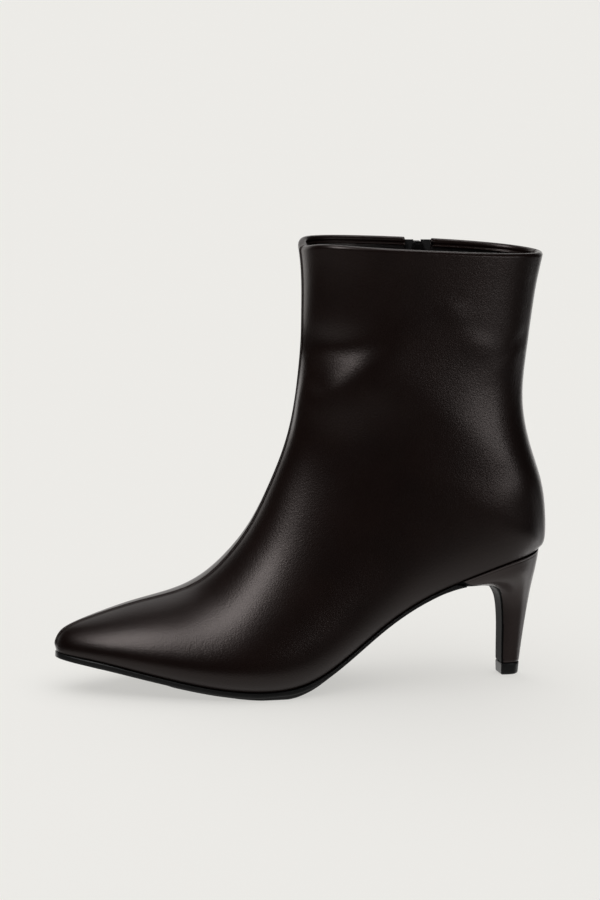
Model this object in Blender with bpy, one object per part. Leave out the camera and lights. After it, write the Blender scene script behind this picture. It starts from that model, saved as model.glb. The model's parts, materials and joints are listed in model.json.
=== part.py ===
"""Left ankle boot with a pointed toe on a slim kitten heel.

The toe points to -X, the outer side to -Y, the inner side with its zip to +Y, and the floor is z = 0.
The tables are in millimetres, x from the toe's tip and z from the floor, drawn for a 250 mm boot.
"""

import math

import bmesh
import bpy
import numpy as np

# Driving sizes, in millimetres
LENGTH = 250.0          # toe tip to the back of the heel counter
BALL_WIDTH = 79.4       # upper, across the ball of the foot
COLLAR_HEIGHT = 222.2   # floor to the front of the collar
WALL = 1.8              # leather with its lining
GAP = 0.3               # between pieces that meet
SEAM_DEPTH = 0.4        # groove of the front seam
COLLAR_RISE = 1.0       # inner side of the collar above the outer side
RISE_ROWS = 3
SOLE_MARGIN = 1.0       # outsole past the upper's seat edge
SOLE_END = 199.0        # where the outsole meets the heel's lip
TREAD_INSET = 0.7
TREAD_START, TREAD_END = 53.0, 131.0
INSOLE_INSET = 2.4
INSOLE_THICK = 2.0
LIFT_HEIGHT = 6.0       # top lift under the heel
ZIP_X = 186.7           # zip's middle line
ZIP_HALF = 6.0          # half of the slot in the upper
ZIP_FLARE = 3.0         # how much wider each half is at the collar
ZIP_FLARE_FROM = 200.0
ZIP_BOTTOM = 96.0
TAPE_TOP = 219.4
CHAIN_TOP = 211.8
CHAIN_HALF = 2.6
TOOTH_PITCH = 3.0
SLIDER_LOW, SLIDER_HIGH = 209.6, 218.6
SLIDER_HALF = 3.8
BRIDGE_RISE = 2.2       # free height under the slider's bridge
BRIDGE_HALF = 0.9
PULL_HALF = 3.0
PULL_LENGTH = 22.0
PULL_THICK = 1.2

# Last, a row for each section from the nose over the ball and the heel's corner to the collar.
# bottom is the seat edge, then the back line; top is the vamp's ridge, then the shaft's front.
# outer and inner are half widths at the widest, seat_ at the seat edge, axis the middle's place in y.
SECTION_COLUMNS = "bottom_x bottom_z top_x top_z outer inner seat_outer seat_inner axis".split()
SECTIONS = np.array((
    (1.9, 19.2, 0.0, 23.4, 0.0, 0.0, 0.0, 0.0, 4.6),
    (3.8, 19.0, 2.2, 28.0, 6.2, 6.2, 5.2, 5.2, 4.6),
    (9.6, 18.2, 8.8, 32.7, 12.2, 11.8, 10.4, 10.0, 4.5),
    (22.5, 16.2, 22.0, 37.4, 20.0, 19.0, 17.2, 16.2, 4.2),
    (45.0, 11.2, 41.0, 43.0, 29.2, 27.8, 25.2, 24.0, 3.4),
    (71.0, 6.1, 60.5, 48.0, 36.8, 35.2, 31.8, 30.6, 2.2),
    (95.0, 3.9, 75.9, 56.0, 40.4, 39.0, 34.4, 33.6, 1.2),
    (118.0, 6.5, 88.6, 69.2, 39.0, 37.4, 32.8, 31.4, 0.5),
    (139.0, 17.6, 98.1, 83.7, 35.6, 33.6, 29.0, 26.0, 0.1),
    (160.0, 33.2, 105.9, 100.7, 32.8, 31.4, 26.0, 22.6, 0.0),
    (181.0, 46.0, 112.1, 117.1, 31.8, 31.0, 24.8, 22.4, 0.0),
    (202.0, 55.0, 116.0, 132.0, 32.2, 31.8, 25.6, 24.6, 0.0),
    (222.0, 61.8, 118.1, 146.0, 32.8, 32.4, 25.0, 24.6, 0.0),
    (238.0, 65.2, 119.1, 157.0, 33.0, 32.6, 17.6, 17.4, 0.0),
    (246.6, 66.4, 119.7, 166.0, 32.6, 32.2, 0.0, 0.0, 0.0),
    (250.0, 77.0, 120.0, 173.5, 31.8, 31.4, 0.0, 0.0, 0.0),
    (247.4, 97.0, 120.0, 180.5, 30.8, 30.4, 0.0, 0.0, 0.0),
    (240.6, 117.0, 119.9, 187.0, 29.6, 29.2, 0.0, 0.0, 0.0),
    (234.8, 142.0, 119.8, 194.2, 28.6, 28.2, 0.0, 0.0, 0.0),
    (236.1, 170.0, 119.5, 202.4, 28.4, 28.0, 0.0, 0.0, 0.0),
    (239.0, 197.4, 118.7, 211.6, 28.8, 28.4, 0.0, 0.0, 0.0),
    (242.5, 217.2, 117.0, 222.2, 29.6, 29.2, 0.0, 0.0, 0.0),
))
CORNER = 14             # row of the heel's corner, where the seat edge closes
LAST_ROW = len(SECTIONS) - 1

# How the sections are rounded, a row for every third section.
# widest is the share of the height where a section is widest, crown draws the part above it upward,
# ridge_ narrows the top, square fills the ends, tilt raises the inner side of the vamp.
SHAPE_COLUMNS = "widest crown ridge_outer ridge_inner square tilt".split()
SHAPES = np.array((
    (0.335, 0.05, 0.00, 0.00, 0.00, 0.00),
    (0.350, 0.05, 0.16, 0.08, 0.00, 0.04),
    (0.357, 0.06, 0.23, 0.12, 0.00, 0.09),
    (0.360, 0.10, 0.21, 0.17, 0.01, 0.04),
    (0.380, 0.12, 0.16, 0.15, 0.02, 0.02),
    (0.420, 0.10, 0.10, 0.10, 0.03, 0.01),
    (0.465, 0.05, 0.04, 0.04, 0.06, 0.00),
    (0.500, 0.00, 0.00, 0.00, 0.08, 0.00),
))
SHAPE_STEP = 3

# Outsole: thickness of the edge and depth of the tread below it
SOLE_COLUMNS = "x thick tread".split()
SOLE = np.array((
    (0.0, 2.6, 0.3),
    (18.0, 2.9, 0.3),
    (TREAD_START - 3, 2.5, 0.3),
    (TREAD_START, 2.5, 0.6),
    (80.0, 2.4, 0.7),
    (95.0, 2.4, 1.3),
    (108.0, 2.5, 2.0),
    (114.0, 2.5, 2.0),
    (122.0, 2.5, 1.4),
    (TREAD_END, 2.4, 0.4),
    (160.0, 1.9, 0.3),
    (SOLE_END, 1.5, 0.3),
))

# Heel below its seat: breast line, back line, half of the breast and how far the sides swell past it
HEEL_COLUMNS = "front_x front_z back_x back_z half swell".split()
HEEL = np.array((
    (201.6, 51.2, 247.2, 62.8, 24.6, 0.4),
    (207.6, 50.6, 246.5, 57.4, 21.6, 1.2),
    (214.8, 49.2, 245.6, 52.0, 15.8, 2.6),
    (221.2, 46.0, 244.8, 46.6, 10.2, 3.8),
    (225.6, 41.0, 244.0, 41.2, 6.8, 3.8),
    (228.0, 35.4, 243.2, 35.6, 5.5, 3.0),
    (229.0, 28.0, 242.2, 28.2, 5.1, 2.2),
    (229.5, 20.4, 241.2, 20.5, 5.0, 1.4),
    (229.8, 13.0, 240.4, 13.0, 5.0, 0.7),
    (230.1, LIFT_HEIGHT + GAP, 239.8, LIFT_HEIGHT + GAP, 5.0, 0.3),
))

SCALE = 0.001 * np.array((LENGTH / 250.0, BALL_WIDTH / 79.4, COLLAR_HEIGHT / 222.2))


def spline(rows, at):
    """Natural cubic curve through the rows, one row at each whole number, read at the places given."""
    count = len(rows)
    system = np.eye(count)
    right = np.zeros_like(rows)
    for i in range(1, count - 1):
        system[i, i - 1:i + 2] = 1, 4, 1
        right[i] = 6 * (rows[i - 1] - 2 * rows[i] + rows[i + 1])
    bend = np.linalg.solve(system, right)
    low = np.clip(np.floor(at).astype(int), 0, count - 2)
    t = (at - low)[:, None]
    u = 1 - t
    return u * rows[low] + t * rows[low + 1] + ((u**3 - u) * bend[low] + (t**3 - t) * bend[low + 1]) / 6


def sections(at):
    """Section sizes at places along the last, by column name; widths change sign before the nose."""
    at = np.asarray(at, float)
    rows = SECTIONS.copy()
    for i in range(1, len(rows) - CORNER):
        rows[CORNER + i, 6:8] = -rows[CORNER - min(i, 6), 6:8]
    mirrored = rows[3:0:-1].copy()
    mirrored[:, 4:8] *= -1
    values = spline(np.vstack((mirrored, rows)), at + 3)
    found = dict(zip(SECTION_COLUMNS, values.T))
    found["seat_outer"] = np.where(at < CORNER, found["seat_outer"], 0)
    found["seat_inner"] = np.where(at < CORNER, found["seat_inner"], 0)
    found.update(zip(SHAPE_COLUMNS, spline(SHAPES, np.abs(at) / SHAPE_STEP).T))
    found["rise"] = COLLAR_RISE * np.clip(1 - (LAST_ROW - at) / RISE_ROWS, 0, 1)**2
    return found


def section_side(sizes, side, turns):
    """Points of one side of each section, from the seat edge or back line (turn 0) to the ridge (turn 1).

    y = width (sin a + ridge/2 sin 2a + square sin 3a) over its peak. The height's share falls from widest
    with cos a + bend cos^2 a, the bend below the widest place taken so that the seat edge lies at share 0.
    """
    width = sizes[side][:, None]
    seat = sizes["seat_" + side][:, None]
    ridge = sizes["ridge_" + side][:, None]
    square = sizes["square"][:, None]
    widest = sizes["widest"][:, None]
    crown = sizes["crown"][:, None]

    def swell(a):
        return np.sin(a) + ridge / 2 * np.sin(2 * a) + square * np.sin(3 * a)

    fine = np.linspace(0, math.pi, 361)[None]
    curve = swell(fine)
    peak = curve.max(1, keepdims=True)
    first_ratio = SECTIONS[1, SECTION_COLUMNS.index("seat_" + side)] / SECTIONS[1, SECTION_COLUMNS.index(side)]
    safe = np.where(np.abs(width) < 1e-6, 1, width)
    ratio = np.where(np.abs(width) < 1e-6, first_ratio, seat / safe)
    start = np.zeros_like(ratio)
    for i, row in enumerate(curve):
        top = row.argmax() + 1
        start[i] = np.interp(ratio[i], row[:top] / peak[i], fine[0, :top])
    angle = start + (math.pi - start) * np.asarray(turns)[None]
    y = width * swell(angle) / peak
    reach = (1 - widest) / (1 + crown)
    fall = np.cos(angle)
    below = (widest / reach - np.cos(start)) / np.cos(start)**2
    share = widest - reach * (fall + np.where(fall > 0, below, -crown) * fall**2)
    sign = -1 if side == "outer" else 1
    x = sizes["bottom_x"][:, None] + share * (sizes["top_x"] - sizes["bottom_x"])[:, None]
    z = sizes["bottom_z"][:, None] + share * (sizes["top_z"] - sizes["bottom_z"])[:, None]
    z = z + sizes["tilt"][:, None] * sign * y * share**2
    if side == "inner":
        z = z + sizes["rise"][:, None] * np.sin(angle)**2
    return np.stack((x, sizes["axis"][:, None] + sign * y, z), -1)


def upper_points(at, turns):
    """Outside of the upper: a row for each section, from the outer seat edge over the ridge to the inner."""
    sizes = sections(at)
    outer = section_side(sizes, "outer", turns)
    inner = section_side(sizes, "inner", turns)
    points = np.concatenate((outer, inner[:, -2::-1]), 1)
    middle = len(turns) - 1
    down = points[:, 0] - points[:, middle]
    reach = np.linalg.norm(down, axis=1, keepdims=True)
    points[:, middle] += down / reach * SEAM_DEPTH * np.clip(reach / 15, 0, 1)
    nose = np.asarray(at) == 0
    points[nose, middle] = points[nose, middle - 1]
    return points


def inner_side(x, heights):
    """Distance of the upper's inner side from the middle, at one x and several heights of the shaft."""
    sizes = sections(np.linspace(11, LAST_ROW, 320))
    points = section_side(sizes, "inner", np.linspace(0, 1, 121))
    y = np.array([np.interp(-x, -row[:, 0], row[:, 1]) for row in points])
    z = np.array([np.interp(-x, -row[:, 0], row[:, 2]) for row in points])
    return np.interp(heights, z, y)


def seat_line(at, margin):
    """Outer and inner edge of the bottom, moved outward in plan by a margin."""
    step = 1e-3

    def edge(side, sign, place):
        sizes = sections(place)
        return np.stack((sizes["bottom_x"], sizes["axis"] + sign * sizes["seat_" + side], sizes["bottom_z"]), -1)

    edges = []
    for side, sign in (("outer", -1), ("inner", 1)):
        line = edge(side, sign, at)
        along = edge(side, sign, np.minimum(at + step, CORNER - 1e-9)) - edge(side, sign, at - step)
        away = np.stack((-along[:, 1], along[:, 0]), -1) * sign
        away /= np.linalg.norm(away, axis=1, keepdims=True)
        line[:, :2] += away * margin
        edges.append(line)
    return edges


def place_of(x):
    """Place along the last where the seat edge has this x."""
    fine = np.linspace(0, CORNER - 1, 2000)
    return float(np.interp(x, sections(fine)["bottom_x"], fine))


UPPER_PLACES = np.concatenate((
    np.linspace(0, 1, 4)[:-1], np.arange(1, CORNER - 1.6, 0.5),
    np.linspace(CORNER - 1.5, CORNER + 0.5, 9), np.arange(CORNER + 1, LAST_ROW + 0.1, 0.5),
))
UPPER_TURNS = np.concatenate((np.linspace(0, 0.96, 16), (0.985, 1)))
BOX = upper_points(UPPER_PLACES, UPPER_TURNS).reshape(-1, 3)
MIDDLE = np.append((BOX[:, :2].min(0) + BOX[:, :2].max(0)) / 2, 0)


def to_metres(points):
    return (np.asarray(points, float).reshape(-1, 3) - MIDDLE) * SCALE


def surface_material(name, colour, roughness, metallic=0.0):
    made = bpy.data.materials.new(name)
    made.use_nodes = True
    shader = made.node_tree.nodes["Principled BSDF"]
    shader.inputs["Base Color"].default_value = (*colour, 1)
    shader.inputs["Roughness"].default_value = roughness
    shader.inputs["Metallic"].default_value = metallic
    made.diffuse_color = (*colour, 1)
    return made


def add_object(name, points, faces, look=None):
    """Mesh object from points in table millimetres, with doubled points joined and faces turned outward."""
    mesh = bpy.data.meshes.new(name)
    mesh.from_pydata(to_metres(points).tolist(), [], faces)
    shape = bmesh.new()
    shape.from_mesh(mesh)
    bmesh.ops.remove_doubles(shape, verts=shape.verts, dist=1e-6)
    bmesh.ops.dissolve_degenerate(shape, edges=shape.edges, dist=1e-7)
    bmesh.ops.recalc_face_normals(shape, faces=shape.faces)
    shape.to_mesh(mesh)
    shape.free()
    made = bpy.data.objects.new(name, mesh)
    bpy.context.scene.collection.objects.link(made)
    if look:
        mesh.materials.append(surface_material(name, *look))
    return made


def strip_faces(rows, columns, around=False):
    """Quads between neighbouring rows of points, closed to a tube when around is set."""
    last = columns if around else columns - 1
    return [
        (r * columns + c, r * columns + (c + 1) % columns, (r + 1) * columns + (c + 1) % columns, (r + 1) * columns + c)
        for r in range(rows - 1)
        for c in range(last)
    ]


def prism(name, outline, axis, low, high, look=None):
    """Solid from a plane outline, drawn out along an axis from low to high."""
    count = len(outline)
    layers = []
    for level in (low, high):
        layers.append([np.insert(np.asarray(p, float), axis, level) for p in outline])
    faces = [tuple(range(count)), tuple(range(count, 2 * count))]
    faces += [(i, (i + 1) % count, count + (i + 1) % count, count + i) for i in range(count)]
    return add_object(name, np.concatenate(layers), faces, look)


def combine(base, tool, operation):
    """Boolean of a base object with a tool that only serves as its helper."""
    tool.hide_render = True
    tool.hide_viewport = True
    change = base.modifiers.new(tool.name, "BOOLEAN")
    change.operation = operation
    change.solver = "EXACT"
    change.object = tool


def arc(centre, radius, start, end, steps):
    angles = np.radians(np.linspace(start, end, steps + 1))
    return [(centre[0] + radius * math.cos(a), centre[1] + radius * math.sin(a)) for a in angles]


def slot_half(heights):
    """Half width of the zip's slot: round at its foot, flared towards the collar."""
    heights = np.asarray(heights, float)
    drop = np.clip(ZIP_BOTTOM + ZIP_HALF - heights, 0, ZIP_HALF)
    flare = np.clip((heights - ZIP_FLARE_FROM) / (TAPE_TOP - ZIP_FLARE_FROM), 0, 1.3)
    return np.sqrt(ZIP_HALF**2 - drop**2) + ZIP_FLARE * flare**2


def slot_outline():
    foot = arc((ZIP_X, ZIP_BOTTOM + ZIP_HALF), ZIP_HALF, 180, 360, 8)
    heights = np.linspace(ZIP_FLARE_FROM, TAPE_TOP + 4, 7)
    half = slot_half(heights)
    front = list(zip(ZIP_X - half, heights))
    rear = list(zip(ZIP_X + half, heights))
    return front[::-1] + foot + rear


def make_upper():
    points = upper_points(UPPER_PLACES, UPPER_TURNS)
    rows, columns = points.shape[:2]
    upper = add_object("upper", points, strip_faces(rows, columns), ((0.018, 0.011, 0.009), 0.38))
    upper.modifiers.new("facets", "TRIANGULATE").quad_method = "SHORTEST_DIAGONAL"
    wall = upper.modifiers.new("wall", "SOLIDIFY")
    wall.thickness = WALL * 0.001
    wall.offset = -1
    combine(upper, prism("zip_slot", slot_outline(), 1, 8.0, 60.0), "DIFFERENCE")


def make_insole():
    at = np.concatenate((np.linspace(0, 1, 4)[:-1], np.arange(1, CORNER - 1, 0.5), np.linspace(CORNER - 1, CORNER, 5)))
    outer, inner = seat_line(at, -INSOLE_INSET)
    inner[0] = outer[0] = (outer[0] + inner[0]) / 2
    inner[-1] = outer[-1] = (outer[-1] + inner[-1]) / 2
    up = np.array((0, 0, INSOLE_THICK))
    rings = np.stack((outer, inner, inner + up, outer + up), 1)
    add_object("insole", rings, strip_faces(len(at), 4, around=True), ((0.012, 0.010, 0.009), 0.55))


def make_outsole():
    end = place_of(SOLE_END)
    at = np.concatenate((np.linspace(0, 1, 4)[:-1], np.linspace(1, end, 56)))
    ring = []
    edges = seat_line(at, SOLE_MARGIN)
    treads = seat_line(at, SOLE_MARGIN - TREAD_INSET)
    for number, (edge, tread) in enumerate(zip(edges, treads)):
        thick, depth = np.array([np.interp(edge[:, 0], SOLE[:, 0], SOLE[:, i]) for i in (1, 2)])
        top = edge[:, 2] - GAP
        middle = np.maximum(top - thick, depth)
        bottom = np.maximum(middle - depth, 0)
        levels = ((edge, top), (edge, middle), (tread, middle), (tread, bottom))
        side = [np.column_stack((line[:, :2], height)) for line, height in levels]
        ring += side if number == 0 else side[::-1]
    rings = np.stack(ring, 1)
    rings[0] = np.concatenate(((rings[0, :4] + rings[0, :3:-1]) / 2, (rings[0, :4] + rings[0, :3:-1])[::-1] / 2))
    count = len(at)
    cap = tuple((count - 1) * 8 + i for i in range(8))
    add_object("outsole", rings, strip_faces(count, 8, around=True) + [cap], ((0.006, 0.006, 0.007), 0.6))


def heel_rings():
    """Rings of the heel from its seat down: outer front corner, round the back, to the inner front corner."""
    start = place_of(SOLE_END + GAP)
    at = np.concatenate((np.linspace(start, CORNER - 1, 9)[:-1], np.linspace(CORNER - 1, CORNER, 7)))
    outer, inner = seat_line(at, 0.8)
    inner[-1] = outer[-1] = (outer[-1] + inner[-1]) / 2
    seat = np.concatenate((outer, inner[-2::-1]))
    seat[:, 2] -= GAP
    front, back = seat[:, 0].min(), seat[:, 0].max()
    half = np.abs(seat[:, 1]).max()
    along = (seat[:, 0] - front) / (back - front)
    across = seat[:, 1] / half
    front_z = seat[0, 2]
    back_z = seat[len(seat) // 2, 2]
    top = np.array((front, front_z, back, back_z, half, 0))
    rows = spline(np.vstack((top, HEEL)), np.linspace(0, len(HEEL), 3 * len(HEEL) + 1))
    crown = seat[:, 2] - (front_z + (back_z - front_z) * along)
    rings = []
    for number, row in enumerate(rows):
        fade = max(0.0, 1 - number / 9)
        x = row[0] + (row[2] - row[0]) * along
        z = row[1] + (row[3] - row[1]) * along + crown * fade
        rings.append(np.column_stack((x, across * (row[4] + row[5] * np.sin(math.pi * along)), z)))
    return np.array(rings)


def make_heel():
    rings = heel_rings()
    rows, columns = rings.shape[:2]
    faces = strip_faces(rows, columns, around=True)
    for first in (0, (rows - 1) * columns):
        for i in range(columns // 2):
            faces.append((first + i, first + i + 1, first + columns - 2 - i, first + columns - 1 - i))
    add_object("heel", rings, faces, ((0.018, 0.011, 0.009), 0.38))


def make_top_lift():
    tip = heel_rings()[-1]
    foot = tip + (tip - tip.mean(0)) * (-0.04, -0.04, 0)
    layers = []
    for line, height in ((tip, LIFT_HEIGHT), (foot, 0.5), (foot + (tip.mean(0) - foot) * 0.08, 0.0)):
        layers.append(np.column_stack((line[:, :2], np.full(len(line), height))))
    columns = len(tip)
    faces = strip_faces(3, columns, around=True)
    faces += [tuple(range(columns)), tuple(range(2 * columns, 3 * columns))]
    add_object("top_lift", np.concatenate(layers), faces, ((0.006, 0.006, 0.007), 0.55))


def make_tapes():
    """Two woven tapes in the slot, parting round the slider's post."""
    heights = np.linspace(ZIP_BOTTOM + 0.5, TAPE_TOP, 30)
    parting = 0.6 + 1.4 * np.clip((heights - CHAIN_TOP + 2) / 2.5, 0, 1)
    rounded = np.maximum(slot_half(heights) - GAP, 1.0)
    for name, sign in (("zip_tape_front", -1), ("zip_tape_rear", 1)):
        columns = []
        for share in (0, 0.5, 1):
            offset = sign * (parting + (rounded - parting) * share)
            y = np.array([inner_side(ZIP_X + o, h) for o, h in zip(offset, heights)])
            columns.append(np.column_stack((ZIP_X + offset, y, heights)))
        front = np.stack(columns, 1) - (0, 0.9, 0)
        rings = np.concatenate((front, front[:, ::-1] - (0, 0.5, 0)), 1)
        rows = len(heights)
        caps = [tuple(range(6)), tuple((rows - 1) * 6 + i for i in range(6))]
        add_object(name, rings, strip_faces(rows, 6, around=True) + caps, ((0.007, 0.007, 0.008), 0.75))


def make_chain():
    """Closed row of teeth: a comb outline in side view, drawn across the zip."""
    count = int((CHAIN_TOP - ZIP_BOTTOM - 2.5) / TOOTH_PITCH)
    steps = CHAIN_TOP - TOOTH_PITCH * np.arange(count + 1)
    comb = []
    for height in steps[:-1]:
        for drop, rise in ((0.0, 0.6), (1.9, 0.6), (2.0, 0.0), (2.9, 0.0)):
            comb.append((height - drop, rise))
    comb = np.array(comb)
    face = inner_side(ZIP_X, comb[:, 0]) + comb[:, 1]
    back = inner_side(ZIP_X, steps) - 0.55
    outline = list(zip(face, comb[:, 0])) + [(y, z) for y, z in zip(back[::-1], steps[::-1])]
    prism("zip_chain", outline, 0, ZIP_X - CHAIN_HALF, ZIP_X + CHAIN_HALF, ((0.008, 0.008, 0.009), 0.45))


def slider_plane():
    """Place in y of the back of the slider's outer plate, clear of the teeth."""
    return float(inner_side(ZIP_X, np.linspace(SLIDER_LOW, SLIDER_HIGH, 12)).max()) + 0.95


def plate_outline(half, low, high):
    """Shield outline of a slider plate, narrower at its lower end."""
    foot = half * 0.72
    return [
        (ZIP_X - foot + 0.8, low), (ZIP_X + foot - 0.8, low), (ZIP_X + foot, low + 1.0),
        (ZIP_X + half, high - 3.2), (ZIP_X + half - 0.6, high - 0.9), (ZIP_X + half - 1.8, high),
        (ZIP_X - half + 1.8, high), (ZIP_X - half + 0.6, high - 0.9), (ZIP_X - half, high - 3.2),
        (ZIP_X - foot, low + 1.0),
    ]


def hinge_point():
    """Middle of the pull's bar under the slider's bridge."""
    return np.array((ZIP_X, slider_plane() + 1.2 + BRIDGE_RISE / 2, (SLIDER_LOW + SLIDER_HIGH) / 2))


def make_slider():
    plane = slider_plane()
    metal = ((0.05, 0.05, 0.055), 0.3, 1.0)
    slider = prism("zip_slider", plate_outline(SLIDER_HALF, SLIDER_LOW, SLIDER_HIGH), 1, plane, plane + 1.2, metal)
    inside = float(inner_side(ZIP_X, np.linspace(SLIDER_LOW, SLIDER_HIGH, 12)).min()) - 1.75
    back = prism("slider_back", plate_outline(SLIDER_HALF - 0.5, SLIDER_LOW, SLIDER_HIGH), 1, inside - 0.9, inside)
    low = CHAIN_TOP + 0.6
    post = [(ZIP_X - 1.3, low), (ZIP_X + 1.3, low), (ZIP_X + 1.3, SLIDER_HIGH - 0.4), (ZIP_X - 1.3, SLIDER_HIGH - 0.4)]
    post = prism("slider_post", post, 1, inside - 0.4, plane + 0.5)
    y, z = hinge_point()[1:]
    face = plane + 0.7
    bridge = [(face, z + 2.2), (y + 1.4, z + 2.2), (y + 2.0, z + 1.6), (y + 2.0, z - 1.6), (y + 1.4, z - 2.2),
              (face, z - 2.2), (face, z - 1.3), (y + 0.8, z - 1.3), (y + 1.1, z - 1.0), (y + 1.1, z + 1.0),
              (y + 0.8, z + 1.3), (face, z + 1.3)]
    bridge = prism("slider_bridge", bridge, 0, ZIP_X - BRIDGE_HALF, ZIP_X + BRIDGE_HALF)
    for helper in (back, post, bridge):
        combine(slider, helper, "UNION")
    return slider


def make_pull():
    """Tab that hangs on the bridge, its origin on the bar's axis."""
    hinge = hinge_point()
    tip = hinge[2] - PULL_LENGTH
    waist = hinge[2] - 5.4
    outline = [(ZIP_X - 2.6, hinge[2] + 0.6), (ZIP_X - 2.6, waist + 0.6), (ZIP_X - 1.9, waist - 1.2),
               (ZIP_X - PULL_HALF, tip + 3), *arc((ZIP_X, tip + 3), PULL_HALF, 180, 360, 10)[1:],
               (ZIP_X + 1.9, waist - 1.2), (ZIP_X + 2.6, waist + 0.6), (ZIP_X + 2.6, hinge[2] + 0.6)]
    low, high = hinge[1] - PULL_THICK / 2, hinge[1] + PULL_THICK / 2
    pull = prism("zip_pull", outline, 1, low, high, ((0.05, 0.05, 0.055), 0.28, 1.0))
    eye = [(ZIP_X - 1.5, hinge[2] - 0.6), (ZIP_X + 1.5, hinge[2] - 0.6), (ZIP_X + 1.5, hinge[2] - 4.2),
           (ZIP_X - 1.5, hinge[2] - 4.2)]
    combine(pull, prism("pull_eye", eye, 1, low - 1, high + 1), "DIFFERENCE")
    place = to_metres(hinge)[0]
    for made in (pull, bpy.data.objects["pull_eye"]):
        for vertex in made.data.vertices:
            vertex.co -= type(vertex.co)(place)
        made.location = place
    return pull


def main():
    for old in list(bpy.data.objects):
        bpy.data.objects.remove(old)
    make_upper()
    make_insole()
    make_outsole()
    make_heel()
    make_top_lift()
    make_tapes()
    make_chain()
    make_slider()
    make_pull()


main()
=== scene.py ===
import json
import math

import bmesh
import bpy
import numpy as np
from mathutils import Matrix

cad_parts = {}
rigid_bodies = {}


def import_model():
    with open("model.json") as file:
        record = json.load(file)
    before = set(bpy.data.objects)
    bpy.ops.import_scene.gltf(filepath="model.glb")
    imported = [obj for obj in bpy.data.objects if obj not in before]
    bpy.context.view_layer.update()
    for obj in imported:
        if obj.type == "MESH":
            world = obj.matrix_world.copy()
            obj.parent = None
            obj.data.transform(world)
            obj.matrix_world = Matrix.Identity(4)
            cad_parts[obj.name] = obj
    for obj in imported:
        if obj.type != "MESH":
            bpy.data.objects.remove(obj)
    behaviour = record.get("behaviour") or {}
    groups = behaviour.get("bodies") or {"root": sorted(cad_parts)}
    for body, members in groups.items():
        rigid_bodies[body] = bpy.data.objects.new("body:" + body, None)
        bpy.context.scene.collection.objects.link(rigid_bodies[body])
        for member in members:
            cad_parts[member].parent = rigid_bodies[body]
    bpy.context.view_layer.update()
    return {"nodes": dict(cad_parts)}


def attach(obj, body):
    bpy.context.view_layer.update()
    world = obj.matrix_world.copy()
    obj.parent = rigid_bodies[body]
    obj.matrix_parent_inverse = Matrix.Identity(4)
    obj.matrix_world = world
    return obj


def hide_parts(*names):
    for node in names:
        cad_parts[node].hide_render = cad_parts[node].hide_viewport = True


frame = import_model()
print("stage: frame loaded")

# The last, in millimetres: x from the toe's tip, z from the floor, the outer side at negative y.
last = {
    "columns": "bottomX bottomZ topX topZ outer inner seatOuter seatInner axis".split(),
    "rows": np.array((
        (1.1, 19.2, 0.0, 23.4, 0.0, 0.0, 0.0, 0.0, 4.6),
        (3.3, 19.0, 2.2, 28.0, 6.2, 6.2, 5.2, 5.2, 4.6),
        (9.6, 18.2, 8.8, 32.7, 12.2, 11.8, 10.4, 10.0, 4.5),
        (22.5, 16.2, 22.0, 37.4, 20.0, 19.0, 17.2, 16.2, 4.2),
        (45.0, 11.2, 41.0, 43.0, 29.2, 27.8, 25.2, 24.0, 3.4),
        (71.0, 6.1, 60.5, 48.0, 36.8, 35.2, 31.8, 30.6, 2.2),
        (95.0, 3.9, 75.9, 56.0, 40.4, 39.0, 34.4, 33.6, 1.2),
        (118.0, 6.5, 88.6, 69.2, 39.0, 37.4, 32.8, 31.4, 0.5),
        (139.0, 17.6, 98.1, 83.7, 35.6, 33.6, 29.0, 26.0, 0.1),
        (160.0, 33.2, 105.9, 100.7, 32.8, 31.4, 26.0, 22.6, 0.0),
        (181.0, 46.0, 112.1, 117.1, 31.8, 31.0, 24.8, 22.4, 0.0),
        (202.0, 55.0, 116.0, 132.0, 32.2, 31.8, 25.6, 24.6, 0.0),
        (222.0, 61.8, 118.1, 146.0, 32.8, 32.4, 25.0, 24.6, 0.0),
        (238.0, 65.2, 119.1, 157.0, 33.0, 32.6, 17.6, 17.4, 0.0),
        (247.2, 67.1, 119.7, 166.0, 32.6, 32.2, 0.0, 0.0, 0.0),
        (249.5, 77.0, 120.0, 173.5, 31.8, 31.4, 0.0, 0.0, 0.0),
        (247.2, 97.0, 120.0, 180.5, 30.8, 30.4, 0.0, 0.0, 0.0),
        (240.6, 117.0, 119.9, 187.0, 29.6, 29.2, 0.0, 0.0, 0.0),
        (234.8, 142.0, 119.8, 194.2, 28.6, 28.2, 0.0, 0.0, 0.0),
        (236.1, 170.0, 119.5, 202.4, 28.4, 28.0, 0.0, 0.0, 0.0),
        (239.0, 197.4, 118.7, 211.6, 28.8, 28.4, 0.0, 0.0, 0.0),
        (242.5, 217.2, 117.0, 222.2, 29.6, 29.2, 0.0, 0.0, 0.0),
    )),
    "shapeColumns": "widest crown ridgeOuter ridgeInner square tilt".split(),
    "shapes": np.array((
        (0.335, 0.05, 0.00, 0.00, 0.00, 0.00),
        (0.350, 0.05, 0.16, 0.08, 0.00, 0.04),
        (0.357, 0.06, 0.23, 0.12, 0.00, 0.09),
        (0.360, 0.10, 0.21, 0.17, 0.01, 0.04),
        (0.380, 0.12, 0.16, 0.15, 0.02, 0.02),
        (0.420, 0.10, 0.10, 0.10, 0.03, 0.01),
        (0.465, 0.05, 0.04, 0.04, 0.06, 0.00),
        (0.500, 0.00, 0.00, 0.00, 0.08, 0.00),
    )),
    "shapeStep": 3, "corner": 14, "end": 21, "rise": 1.0, "riseRows": 3, "noseRows": 3, "heelRows": 6,
    "noseSeat": 5.2 / 6.2, "fineTurns": 361, "finePlaces": 2000,
    "middle": np.array((125.0003, 0.4345, 0.0)),
}


def unit(vectors):
    return vectors / np.maximum(np.linalg.norm(vectors, axis=-1, keepdims=True), 1e-9)


def toWorld(points):
    return (np.asarray(points, float) - last["middle"]) * 0.001


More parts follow.
